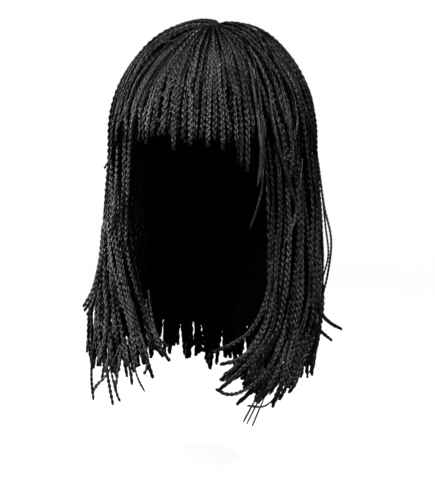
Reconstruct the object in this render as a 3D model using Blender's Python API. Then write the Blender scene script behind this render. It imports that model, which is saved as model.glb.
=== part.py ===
"""A black braid wig with a fringe, in metres and degrees.

The wearer faces -Y, +X is their left and +Z is up. The origin is the point inside
the cap that rests on the top of the head. Every braid leaves a short parting on the
crown. The fringe falls to the brows, and the other braids hang past the ears
to the front and the back of the shoulders. Each lock of the model is a bundle of
two or three braids.

An angle is 0 at the front, 90 at the wearer's left, 180 at the back and negative on
their right.
"""

import math
from collections import namedtuple

import bmesh
import bpy
from mathutils import Vector

# The head, from its top down to its widest level
Shell = namedtuple("Shell", "half_width half_length centre_y height")
WIDEST_Z = -0.098
HEAD = Shell(0.077, 0.097, 0.0, 0.098)

# The cap, and the hair that lies on it
CAP_THICKNESS = 0.002
SEAT_GAP = 0.0011
HAIR_OUTER = Shell(0.097, 0.116, 0.006, 0.112)

# The parting, which runs back along the crown, a little to the wearer's left of its middle
PARTING_X = 0.008
PARTING_FRONT_Y = -0.022
PARTING_BACK_Y = 0.047
FRONT_FAN = 60
BACK_FAN = 125
PARTING_HALF_GAP = 0.0015
WHORL_RADIUS = 0.004
ROOT_THICKNESS_SHARE = 0.75
FULL_THICKNESS_REACH = 0.25

# The hanging hair: where the middle of its thickness lies, by angle from the front. On the
# wearer's left its lower part sweeps forward, and on their right it flares out.
Fall = namedtuple("Fall", "angle jaw_x jaw_y shoulder_x shoulder_y tip_x tip_y tip_z")
FALLS_LEFT = [
    Fall(52, 0.070, -0.061, 0.066, -0.062, 0.036, -0.070, -0.318),
    Fall(65, 0.084, -0.042, 0.080, -0.048, 0.053, -0.066, -0.334),
    Fall(80, 0.094, -0.016, 0.094, -0.026, 0.070, -0.052, -0.346),
    Fall(95, 0.097, 0.012, 0.100, 0.004, 0.087, -0.018, -0.341),
    Fall(110, 0.091, 0.040, 0.092, 0.038, 0.088, 0.028, -0.338),
    Fall(130, 0.071, 0.072, 0.074, 0.070, 0.069, 0.070, -0.338),
    Fall(155, 0.038, 0.096, 0.041, 0.091, 0.040, 0.090, -0.345),
    Fall(180, 0.000, 0.104, 0.000, 0.098, 0.000, 0.098, -0.350),
]
FALLS_RIGHT = [
    Fall(52, -0.068, -0.061, -0.049, -0.060, -0.040, -0.062, -0.322),
    Fall(65, -0.084, -0.042, -0.074, -0.052, -0.066, -0.060, -0.331),
    Fall(80, -0.095, -0.016, -0.100, -0.036, -0.097, -0.048, -0.334),
    Fall(95, -0.098, 0.012, -0.114, -0.008, -0.119, -0.012, -0.334),
    Fall(110, -0.091, 0.040, -0.106, 0.034, -0.112, 0.036, -0.330),
    Fall(130, -0.071, 0.072, -0.081, 0.068, -0.084, 0.070, -0.336),
    Fall(155, -0.038, 0.096, -0.043, 0.090, -0.044, 0.090, -0.345),
    Fall(180, 0.000, 0.104, 0.000, 0.098, 0.000, 0.098, -0.350),
]
JAW_Z, JAW_THICKNESS = -0.185, 0.015
SHOULDER_Z, SHOULDER_THICKNESS = -0.270, 0.014
TIP_THICKNESS = 0.011

# The fringe: where it ends, by angle from the front
FringeEnd = namedtuple("FringeEnd", "angle tip_z")
FRINGE_ENDS = [
    FringeEnd(-50, -0.100),
    FringeEnd(-28, -0.096),
    FringeEnd(-8, -0.089),
    FringeEnd(12, -0.092),
    FringeEnd(26, -0.095),
    FringeEnd(36, -0.118),
    FringeEnd(50, -0.100),
]

# The locks, the stations of their sections from root to tip, and how they come free
Hair = namedtuple("Hair", "path stations free_rows tip_spread lift")
FRINGE_HALF_ANGLE, FRINGE_NODES = 50, 4
SIDE_START_ANGLE, SIDE_NODES = 52, 6
LOCKS_PER_NODE = 4
NODE_GAP = 0.22
FRINGE_STATIONS = (0, 0.14, 0.28, 0.42, 0.56, 0.70, 0.82, 0.92, 1)
SIDE_STATIONS = (0, 0.13, 0.27, 0.41, 0.56, 0.70, 0.85, 1)
SIDE_STATIONS += (1.14, 1.28, 1.42, 1.56, 1.70, 1.84, 1.95, 2)
FRINGE_FREE_ROWS, FRINGE_TIP_SPREAD, FRINGE_LIFT = 3, 0.004, 0.4
SIDE_FREE_ROWS, SIDE_TIP_SPREAD = 4, 0.012
CREST_SHARES = (0.28, 0.72)
VALLEY_DEPTH = 0.0026
FREE_NARROWING = 0.06
TIP_SHARE = 0.5

# The cap's edge, by angle from the front
CapEdge = namedtuple("CapEdge", "angle z")
CAP_EDGE = [
    CapEdge(0, -0.060),
    CapEdge(40, -0.068),
    CapEdge(62, -0.090),
    CapEdge(78, -0.104),
    CapEdge(92, -0.088),
    CapEdge(112, -0.104),
    CapEdge(145, -0.140),
    CapEdge(180, -0.146),
]
CAP_COLUMNS = 48
CAP_ROWS = 9
NAPE_TUCK = 0.17
NAPE_Z = -0.146

HAIR_COLOUR = (0.012, 0.012, 0.013, 1.0)
CAP_COLOUR = (0.016, 0.015, 0.016, 1.0)
MERGE = 1e-6


def grown(shell, by):
    """The shell that lies outside this one by the given distance."""
    return Shell(shell.half_width + by, shell.half_length + by, shell.centre_y, shell.height + by)


CAP_OUTER = grown(HEAD, CAP_THICKNESS)
HAIR_INNER = grown(CAP_OUTER, SEAT_GAP)


def smooth(share):
    """0 up to 0, 1 from 1 on, and a smooth rise between."""
    share = min(1.0, max(0.0, share))
    return share * share * (3 - 2 * share)


def hermite(start, end, leaving, arriving, share):
    """The point at a share of a cubic curve with the given ends and tangents."""
    square, cube = share**2, share**3
    return (
        start * (2 * cube - 3 * square + 1)
        + leaving * (cube - 2 * square + share)
        + end * (3 * square - 2 * cube)
        + arriving * (cube - square)
    )


def row_at(rows, angle):
    """The table's row at an angle, on a smooth curve through its rows."""
    low = max(0, min(len(rows) - 2, sum(row.angle <= angle for row in rows) - 1))
    near = [rows[max(0, min(len(rows) - 1, low + step))] for step in (-1, 0, 1, 2)]
    span = near[2].angle - near[1].angle
    share = (angle - near[1].angle) / span
    values = []
    for before, start, end, after in zip(*near):
        leaving = (end - before) * span / (near[2].angle - near[0].angle)
        arriving = (after - start) * span / (near[3].angle - near[1].angle)
        values.append(hermite(start, end, leaving, arriving, share))
    return type(rows[0])(*values)


def past_the_back(rows):
    """A table from the front to the back, with its last row but one mirrored behind it."""
    beyond = {name: getattr(rows[-2], name) for name in rows[0]._fields}
    beyond["angle"] = 360 - rows[-2].angle
    for name in beyond:
        if name.endswith("_x"):
            beyond[name] = -beyond[name]
    return [*rows, type(rows[0])(**beyond)]


def parting_point(angle):
    """Where the braids at this angle leave the parting, seen from above."""
    share = (abs(angle) - FRONT_FAN) / (BACK_FAN - FRONT_FAN)
    share = min(1.0, max(0.0, share))
    return Vector((PARTING_X, PARTING_FRONT_Y + share * (PARTING_BACK_Y - PARTING_FRONT_Y)))


def rim_point(shell, angle):
    """A point of the shell's widest section, seen from above."""
    turn = math.radians(angle)
    x = shell.half_width * math.sin(turn)
    return Vector((x, shell.centre_y - shell.half_length * math.cos(turn)))


def dome_point(shell, angle, reach):
    """A point of the shell above its widest level. Reach runs from 0 at the parting to 1 there."""
    plan = parting_point(angle).lerp(rim_point(shell, angle), reach)
    away = (plan.x / shell.half_width) ** 2 + ((plan.y - shell.centre_y) / shell.half_length) ** 2
    return Vector((plan.x, plan.y, WIDEST_Z + shell.height * math.sqrt(max(0.0, 1 - away))))


def dome_hair(angle, reach, depth):
    """A point in the hair on the cap. Depth runs from 0 at the cap to 1 at the outer face."""
    rise = smooth(reach / FULL_THICKNESS_REACH)
    rise = ROOT_THICKNESS_SHARE + (1 - ROOT_THICKNESS_SHARE) * rise
    inner = dome_point(HAIR_INNER, angle, reach)
    return inner.lerp(dome_point(HAIR_OUTER, angle, reach), depth * rise)


def fall_middles(angle):
    """The middle of the hair's thickness at the levels of the jaw, the shoulder and the tip."""
    row = row_at(past_the_back(FALLS_LEFT if angle > 0 else FALLS_RIGHT), abs(angle))
    return (
        Vector((row.jaw_x, row.jaw_y, JAW_Z)),
        Vector((row.shoulder_x, row.shoulder_y, SHOULDER_Z)),
        Vector((row.tip_x, row.tip_y, row.tip_z)),
    )


def fall_hair(angle, drop, depth):
    """A point in the hanging hair. Drop runs from 0 at the head's widest level to 1 at the tip."""
    points = [dome_hair(angle, 1.0, depth)]
    thicknesses = (JAW_THICKNESS, SHOULDER_THICKNESS, TIP_THICKNESS)
    nearby = zip(fall_middles(angle - 1), fall_middles(angle), fall_middles(angle + 1), thicknesses)
    for before, middle, after, thickness in nearby:
        along = (after - before).normalized()
        outward = Vector((along.y, -along.x, 0)).normalized()
        points.append(middle + outward * thickness * (depth - 0.5))
    tangents = [Vector((0, 0, points[1].z - points[0].z))]
    tangents += [(points[k + 1] - points[k - 1]) / 2 for k in (1, 2)]
    tangents.append(points[3] - points[2])
    stretch = min(2, int(drop * 3))
    start, end = points[stretch], points[stretch + 1]
    return hermite(start, end, tangents[stretch], tangents[stretch + 1], drop * 3 - stretch)


def root_reach(angle):
    """How far from the parting the locks start: further out where they fan from one point."""
    fan = max(smooth((FRONT_FAN + 15 - abs(angle)) / 15), smooth((abs(angle) - BACK_FAN + 15) / 15))
    start = PARTING_HALF_GAP + fan * (WHORL_RADIUS - PARTING_HALF_GAP)
    return start / (rim_point(HAIR_INNER, angle) - parting_point(angle)).length


def side_path(angle, station, depth):
    """A point in the side and back hair. The station is 0 at the parting, 1 at the head's
    widest level and 2 at the tip."""
    if station > 1:
        return fall_hair(angle, station - 1, depth)
    return dome_hair(angle, max(root_reach(angle), math.sin(station * math.pi / 2)), depth)


def fringe_path(angle, station, depth):
    """A point in the fringe. The station is 0 at the parting and 1 at the fringe's end."""
    tip_z = row_at(FRINGE_ENDS, angle).tip_z
    turn = station * (math.pi / 2 + (WIDEST_Z - tip_z) / HAIR_OUTER.height)
    point = dome_hair(angle, max(root_reach(angle), math.sin(min(turn, math.pi / 2))), depth)
    point.z -= max(0.0, turn - math.pi / 2) * HAIR_OUTER.height
    return point


def spread(number, most):
    """A lasting, uneven length for each lock, between -most and most."""
    return most * math.sin(number * 12.9898 + 4.1)


def lock_sections(kind, left, right, splits, tip_shift):
    """The sections of one lock from root to tip. Each has six corners: the left valley, two
    points of the crest, the right valley, and the two points beneath them."""
    sections = []
    last = len(kind.stations) - 1
    middle = (left + right) / 2
    for number, station in enumerate(kind.stations):
        tip = TIP_SHARE if number == last else 1.0
        freed = [max(0, number - split) for split in splits]
        ease = [tip * (1 - FREE_NARROWING * rows) for rows in freed]
        low, high = middle + (left - middle) * ease[0], middle + (right - middle) * ease[1]
        lowered = [tip_shift * (rows / (last - split)) ** 2 for rows, split in zip(freed, splits)]

        def corner(across, depth):
            point = kind.path(low + (high - low) * across, station, 0.5 + (depth - 0.5) * tip)
            point.z += lowered[0] * (1 - across) + lowered[1] * across
            return point

        floor = kind.lift * station**3
        edges = []
        for across in (0.0, 1.0):
            thick = (corner(across, 1.0) - corner(across, 0.0)).length
            valley = 1 - min(0.45, VALLEY_DEPTH / thick) * min(1.0, number / 2)
            edges.append((corner(across, valley), corner(across, floor)))
        crest = [corner(across, 1.0) for across in CREST_SHARES]
        (left_valley, left_floor), (right_valley, right_floor) = edges
        sections.append([left_valley, *crest, right_valley, right_floor, left_floor])
    return sections


def add_object(name, mesh_data, colour, roughness):
    """An object of its own, with its own material, from a closed bmesh."""
    bmesh.ops.remove_doubles(mesh_data, verts=mesh_data.verts, dist=MERGE)
    bmesh.ops.recalc_face_normals(mesh_data, faces=mesh_data.faces)
    bmesh.ops.triangulate(mesh_data, faces=mesh_data.faces)
    mesh = bpy.data.meshes.new(name)
    mesh_data.to_mesh(mesh)
    mesh_data.free()
    mesh.shade_smooth()
    mesh.set_sharp_from_angle(angle=math.radians(50))
    material = bpy.data.materials.new(name)
    material.use_nodes = True
    shader = material.node_tree.nodes["Principled BSDF"]
    shader.inputs["Base Color"].default_value = colour
    shader.inputs["Roughness"].default_value = roughness
    shader.inputs["Metallic"].default_value = 0.0
    mesh.materials.append(material)
    made = bpy.data.objects.new(name, mesh)
    bpy.context.scene.collection.objects.link(made)
    return made


def lock_sheet(name, kind, start, end, seed):
    """Locks side by side between two angles, joined down to where they split and free below."""
    step = (end - start) / LOCKS_PER_NODE
    split = len(kind.stations) - 1 - kind.free_rows
    splits = [split - (seed + k) % 2 for k in range(LOCKS_PER_NODE + 1)]
    mesh_data = bmesh.new()
    for lock in range(LOCKS_PER_NODE):
        left, right = start + step * lock, start + step * (lock + 1)
        shift = spread(seed * LOCKS_PER_NODE + lock, kind.tip_spread)
        sections = lock_sections(kind, left, right, splits[lock : lock + 2], shift)
        rings = [[mesh_data.verts.new(corner) for corner in ring] for ring in sections]
        mesh_data.faces.new(rings[0])
        mesh_data.faces.new(reversed(rings[-1]))
        for row, (upper, lower) in enumerate(zip(rings, rings[1:])):
            walls = [0, 1, 2, 4]
            if lock == LOCKS_PER_NODE - 1 or row >= splits[lock + 1]:
                walls.append(3)
            if lock == 0 or row >= splits[lock]:
                walls.append(5)
            for wall in walls:
                after = (wall + 1) % 6
                mesh_data.faces.new((upper[wall], lower[wall], lower[after], upper[after]))
    add_object(name, mesh_data, HAIR_COLOUR, 0.5)


def build_fringe():
    """The braids that run forward from the whorl and end at the brows."""
    width = 2 * FRINGE_HALF_ANGLE / FRINGE_NODES
    kind = Hair(fringe_path, FRINGE_STATIONS, FRINGE_FREE_ROWS, FRINGE_TIP_SPREAD, FRINGE_LIFT)
    for number in range(FRINGE_NODES):
        start = -FRINGE_HALF_ANGLE + width * number + NODE_GAP / 2
        lock_sheet(f"fringe_{number + 1}", kind, start, start + width - NODE_GAP, number)


def build_side(name, side):
    """The braids on one side, from the temple to the middle of the back."""
    width = (180 - SIDE_START_ANGLE) / SIDE_NODES
    kind = Hair(side_path, SIDE_STATIONS, SIDE_FREE_ROWS, SIDE_TIP_SPREAD, 0.0)
    for number in range(SIDE_NODES):
        near = side * (SIDE_START_ANGLE + width * number + NODE_GAP / 2)
        far = near + side * (width - NODE_GAP)
        seed = FRINGE_NODES + number + (SIDE_NODES if side > 0 else 0)
        lock_sheet(f"braids_{name}_{number + 1}", kind, min(near, far), max(near, far), seed)


def cap_point(shell, angle, share):
    """A point of the cap. Share runs from 0 at the parting to 1 at the cap's edge."""
    edge = row_at(past_the_back(CAP_EDGE), abs(angle)).z
    climb = (max(edge, WIDEST_Z) - WIDEST_Z) / shell.height
    dome_end = math.acos(min(1.0, climb))
    below = max(0.0, WIDEST_Z - edge) / shell.height
    turn = share * (dome_end + below)
    point = dome_point(shell, angle, math.sin(min(turn, math.pi / 2)))
    if turn > dome_end and below:
        point.z = WIDEST_Z - (turn - dome_end) * shell.height
        tuck = 1 - NAPE_TUCK * ((WIDEST_Z - point.z) / (WIDEST_Z - NAPE_Z)) ** 2
        point.x, point.y = point.x * tuck, point.y * tuck
    return point


def build_cap():
    """The thin cap, open below, with ear tabs and a lower edge at the nape."""
    angles = [360 * k / CAP_COLUMNS - 180 for k in range(CAP_COLUMNS)]
    mesh_data = bmesh.new()
    columns = []
    for angle in angles:
        shares = [k / CAP_ROWS for k in range(CAP_ROWS + 1)]
        outside = [mesh_data.verts.new(cap_point(CAP_OUTER, angle, share)) for share in shares]
        inside = [mesh_data.verts.new(cap_point(HEAD, angle, share)) for share in shares]
        columns.append((outside, inside))
    for here, beyond in zip(columns, columns[1:] + columns[:1]):
        for skin, other in zip(here, beyond):
            for row in range(CAP_ROWS):
                mesh_data.faces.new((skin[row], skin[row + 1], other[row + 1], other[row]))
        mesh_data.faces.new((here[0][-1], here[1][-1], beyond[1][-1], beyond[0][-1]))
    add_object("cap", mesh_data, CAP_COLOUR, 0.85)


def main():
    for old in list(bpy.data.objects):
        bpy.data.objects.remove(old)
    build_cap()
    build_fringe()
    build_side("left", 1)
    build_side("right", -1)


main()
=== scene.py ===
"""The braid wig's looks, in metres and degrees: plaited braids, a mesh cap and loose strands.

The wearer faces -Y, +X is their left and +Z is up, as in the frame. An angle is 0 at
the front, 90 at the wearer's left, 180 at the back and negative on their right.
"""

import math
from collections import namedtuple

import bmesh
import bpy
import numpy as np
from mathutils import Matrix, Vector


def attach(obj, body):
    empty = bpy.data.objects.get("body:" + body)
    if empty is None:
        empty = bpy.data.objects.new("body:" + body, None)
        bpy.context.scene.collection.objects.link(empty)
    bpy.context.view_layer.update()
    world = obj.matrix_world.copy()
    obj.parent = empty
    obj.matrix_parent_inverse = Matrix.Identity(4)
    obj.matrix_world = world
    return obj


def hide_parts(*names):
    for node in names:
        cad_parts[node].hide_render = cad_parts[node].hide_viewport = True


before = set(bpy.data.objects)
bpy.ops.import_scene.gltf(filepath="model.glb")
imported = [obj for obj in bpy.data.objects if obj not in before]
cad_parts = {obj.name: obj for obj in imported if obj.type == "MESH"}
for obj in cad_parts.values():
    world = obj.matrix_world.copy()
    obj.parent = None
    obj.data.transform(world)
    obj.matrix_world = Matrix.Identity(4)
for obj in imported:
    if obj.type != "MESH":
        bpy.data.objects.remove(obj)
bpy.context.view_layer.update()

UP = (0.0, 0.0, 1.0)

# The head and the hair on it, as in the solids
Shell = namedtuple("Shell", "half_width half_length centre_y height")
WIDEST_Z = -0.098
HEAD = Shell(0.077, 0.097, 0.0, 0.098)
CAP_OUTER = Shell(0.079, 0.099, 0.0, 0.100)
HAIR_INNER = Shell(0.0801, 0.1001, 0.0, 0.1011)
HAIR_OUTER = Shell(0.097, 0.116, 0.006, 0.112)

# The parting, and the angles between which the roots of the braids spread along it
PARTING_X, PARTING_FRONT_Y, PARTING_BACK_Y = 0.008, -0.022, 0.047
FRONT_FAN, BACK_FAN = 60, 125

# The hair is thinner at the parting, and its braids cross the parting by a little
ROOT_THICKNESS_SHARE = 0.75
FULL_THICKNESS_REACH = 0.25
ROOT_CROSSING = 0.005

# The middle of the hanging hair's thickness, by angle from the front
Fall = namedtuple("Fall", "angle jaw_x jaw_y shoulder_x shoulder_y tip_x tip_y tip_z")
FALLS_LEFT = [
    Fall(52, 0.070, -0.061, 0.066, -0.062, 0.036, -0.070, -0.318),
    Fall(65, 0.084, -0.042, 0.080, -0.048, 0.053, -0.066, -0.334),
    Fall(80, 0.094, -0.016, 0.094, -0.026, 0.070, -0.052, -0.346),
    Fall(95, 0.097, 0.012, 0.100, 0.004, 0.087, -0.018, -0.341),
    Fall(110, 0.091, 0.040, 0.092, 0.038, 0.088, 0.028, -0.338),
    Fall(130, 0.071, 0.072, 0.074, 0.070, 0.069, 0.070, -0.338),
    Fall(155, 0.038, 0.096, 0.041, 0.091, 0.040, 0.090, -0.345),
    Fall(180, 0.000, 0.104, 0.000, 0.098, 0.000, 0.098, -0.350),
]
FALLS_RIGHT = [
    Fall(52, -0.068, -0.061, -0.049, -0.060, -0.040, -0.062, -0.322),
    Fall(65, -0.084, -0.042, -0.074, -0.052, -0.066, -0.060, -0.331),
    Fall(80, -0.095, -0.016, -0.100, -0.036, -0.097, -0.048, -0.334),
    Fall(95, -0.098, 0.012, -0.114, -0.008, -0.119, -0.012, -0.334),
    Fall(110, -0.091, 0.040, -0.106, 0.034, -0.112, 0.036, -0.330),
    Fall(130, -0.071, 0.072, -0.081, 0.068, -0.084, 0.070, -0.336),
    Fall(155, -0.038, 0.096, -0.043, 0.090, -0.044, 0.090, -0.345),
    Fall(180, 0.000, 0.104, 0.000, 0.098, 0.000, 0.098, -0.350),
]

# The levels of the jaw and the shoulder, and the hair's thickness there and at the tip
LEVELS_Z = (-0.185, -0.270)
LEVEL_THICKNESSES = (0.015, 0.014, 0.011)

# Where the longest braids of the fringe end, by angle from the front
FringeEnd = namedtuple("FringeEnd", "angle tip_z")
FRINGE_ENDS = [
    FringeEnd(-50, -0.104),
    FringeEnd(-28, -0.101),
    FringeEnd(-8, -0.093),
    FringeEnd(12, -0.096),
    FringeEnd(26, -0.097),
    FringeEnd(32, -0.101),
    FringeEnd(36, -0.122),
    FringeEnd(41, -0.092),
    FringeEnd(50, -0.108),
]

# The sectors of the fringe, and of each side from beside the face to the back
FRINGE_HALF_ANGLE, FRINGE_SECTORS = 50, 4
SIDE_START_ANGLE, SIDE_SECTORS = 52, 6

# How far the braids beside the face turn back from it on the wearer's left and right, and
# the stations over which they do
FACE_EDGE_TURNS = {1: 4, -1: 0}
TURN_START, TURN_STATIONS = 0.8, 0.4

# A plait of three strands: its pitch, and the path and section of a strand
PITCH = 0.0172
SWING_ACROSS, SWING_THROUGH = 0.0014, 0.00075
STRAND_WIDTH, STRAND_HEIGHT = 0.0025, 0.0020
BRAID_SIZES = (0.88, 1.12)

# Its sealed end, which swings less and is duller, its thin root, and the size of both tips
SEALED_LENGTH, NECK_LENGTH = 0.006, 0.004
SEALED_SWING, SEALED_TONE = 0.65, 0.3
ROOT_LENGTH, ROOT_SHARE = 0.05, 0.5
ROOT_POINT, END_POINT = 0.2, 0.75

# The waves of a braid in metres and of its roll in radians: the weights of their parts,
# how large and how long they are. Those in metres grow from a share at the root, over a
# length that starts lower down
Wave = namedtuple("Wave", "size length")
WAVE_WEIGHTS = (0.6, 0.3, 0.2)
ACROSS_WAVE, OUTWARD_WAVE = Wave(0.0012, 0.09), Wave(0.0008, 0.11)
ROLL_WAVE, ROLL_CHANCE = Wave(0.4, 0.16), 0.15
TIGHT_SHARE, TIGHT_LENGTH, LOOSENING_LENGTH = 0.25, 0.15, 0.25

# The points along a braid's path, the fewest of the finished line, and the step in depth
# that tells which way is outward
PATH_POINTS, LEAST_STEPS = 120, 8
OUTWARD_STEP = 0.05

# How the ends curl: over what length, how far by chance, how far at the most towards the
# front's middle on the wearer's left and right, and the angles between which that fades
CURL_LENGTH = 0.06
CURL_ACROSS, CURL_OUT = 0.005, 0.003
SWEEPS = {1: (-0.024, -0.014, 0.0), -1: (0.012, -0.006, 0.0)}
SWEEP_ANGLES = (75, 110)

# The layers of braids: how many hang in a sector, how thick and how deep they are, how
# far they wander, the sides and steps of a strand, where they start and end, and how
# much shorter than the longest they may be
Layer = namedtuple("Layer", "braids size depth depth_spread wander sides steps start end trim")
SIDE_LAYERS = [
    Layer(6, 1.00, 0.84, 0.16, 3.4, 4, 9, 0.00, 2, 0.018),
    Layer(1, 1.00, 0.97, 0.05, 9.0, 4, 9, 0.22, 2, 0.018),
    Layer(6, 1.00, 0.48, 0.10, 2.6, 3, 7, 0.00, 2, 0.022),
    Layer(5, 1.20, 0.60, 0.10, 1.0, 3, 6, 0.00, 0.4, 0),
    Layer(10, 1.35, 0.14, 0.05, 0.3, 3, 5, 0.80, 2, 0.024),
]
FRINGE_LAYERS = [
    Layer(7, 1.06, 0.84, 0.16, 2.4, 4, 10, 0.00, 1, 0.006),
    Layer(5, 1.20, 0.60, 0.10, 1.0, 3, 6, 0.00, 0.4, 0),
    Layer(6, 1.00, 0.42, 0.10, 1.8, 3, 7, 0.00, 1, 0.008),
]

# How far the braids wander near the root, as a share, and the stations over which they
# come to wander fully
WANDER_SHARE, WANDER_START, WANDER_STATIONS = 0.2, 0.5, 1.2

# How long the waves of angle and depth are, as shares of a braid, how far chance moves a
# braid's depth, its angle and its start, and how far it may pass its side's lowest angle
WANDER_LENGTH, DEPTH_LENGTH = 1.0, 0.7
DEPTH_CHANCE, ANGLE_CHANCE, START_CHANCE = 0.8, 0.08, 0.05
EDGE_MARGIN = 0.5

# The room that neighbouring braids need. Where it narrows towards the parting only every
# second one goes on, then every fourth, eighth and sixteenth
SPACING_NEEDED, SPACING_DEPTH = 0.0024, 0.9
RANKS = 4
LATEST_START, START_TRIALS = 0.6, 60

# How deep the roots lie, as a share, and the stations over which they rise
ROOT_DEPTH, RISING_STATIONS = 0.3, 0.07

# Braids listed for the fringe: where they start and end, and how much longer they are
FringeBraid = namedtuple("FringeBraid", "start_angle angle longer")
HAND_START, HAND_SIDES, HAND_STEPS = 0.06, 4, 10
HAND_DEPTH, HAND_DEPTH_SPREAD = 1.05, 0.08
FRINGE_BRAIDS = [
    FringeBraid(-22, -31, 0.001),
    FringeBraid(-8, -2, 0.008),
    FringeBraid(2, 7, 0.001),
    FringeBraid(20, 16, 0.001),
    FringeBraid(19, 24, 0.004),
    FringeBraid(29, 31, 0.000),
    FringeBraid(30, 34, 0.003),
    FringeBraid(40, 37, 0.003),
]

# Slits in the fringe: their angle and half width, the stations that they run between, and
# the stations over which they open and close
Slit = namedtuple("Slit", "angle half_width start end")
SLITS = [
    Slit(-13.5, 2.5, 0.58, 0.98),
    Slit(-5.7, 2.3, 0.70, 1.00),
    Slit(6.0, 2.8, 0.54, 0.74),
    Slit(4.5, 2.2, 0.84, 1.10),
    Slit(30.0, 2.0, 0.58, 0.76),
]
SLIT_EASE = 0.1
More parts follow.
